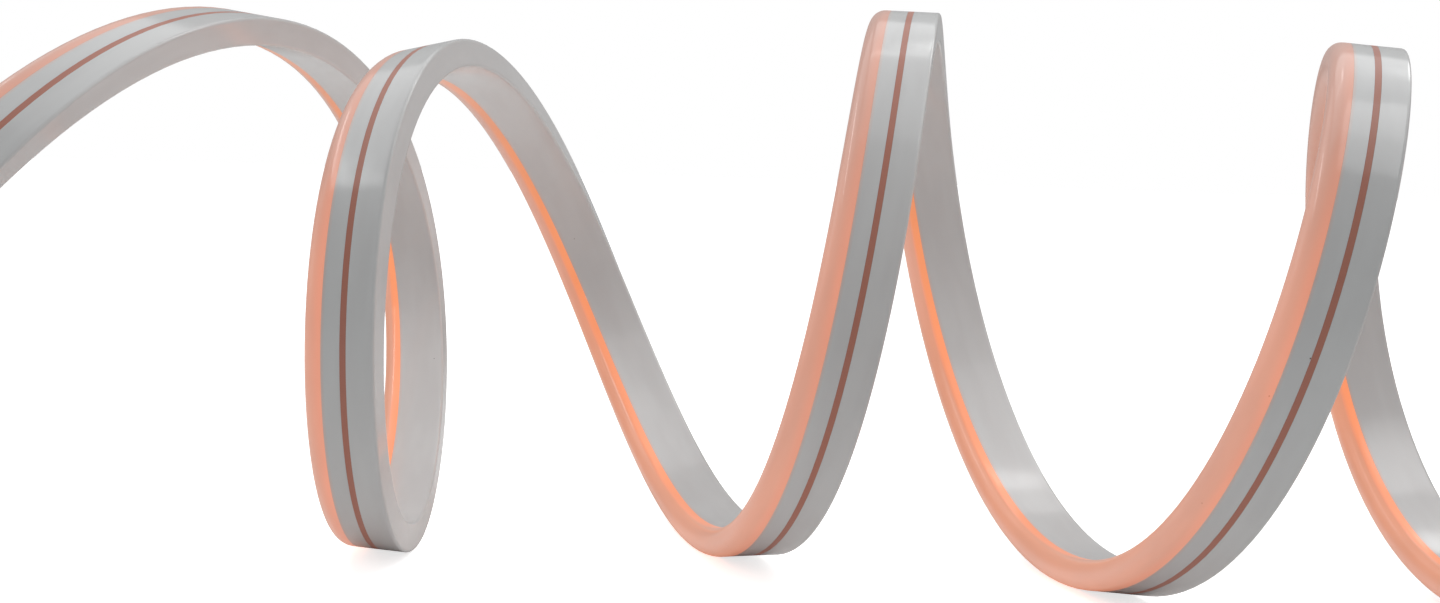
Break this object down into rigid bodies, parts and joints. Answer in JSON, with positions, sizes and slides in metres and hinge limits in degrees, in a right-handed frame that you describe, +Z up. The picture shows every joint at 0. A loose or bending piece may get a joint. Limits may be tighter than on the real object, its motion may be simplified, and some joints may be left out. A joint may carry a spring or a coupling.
{
  "type": "led neon flex",
  "caption": "Slim side-bending neon flex: a white silicone strip with an orange lit domed edge and a red-brown stripe, lying on a floor as a loose stretched coil.",
  "frame": {"origin": "on the floor, under the middle of the coil's length and depth", "axes": "+X along the coil's axis, from the turns whose lit edge leads to the base side; -Y is the front that the picture shows; +Z up"},
  "size_m": [0.463, 0.1714, 0.0964],
  "materials": {
    "white_silicone": "satin opaque white silicone",
    "orange_silicone": "translucent peach silicone, lit orange from inside",
    "marker_silicone": "satin red-brown silicone",
    "circuit_board": "white flexible circuit board"
  },
  "bodies": {
    "root": {"silicone_housing": "white_silicone", "light_diffuser": "orange_silicone", "marker_stripe": "marker_silicone", "led_circuit_strip": "circuit_board"}
  },
  "joints": []
}
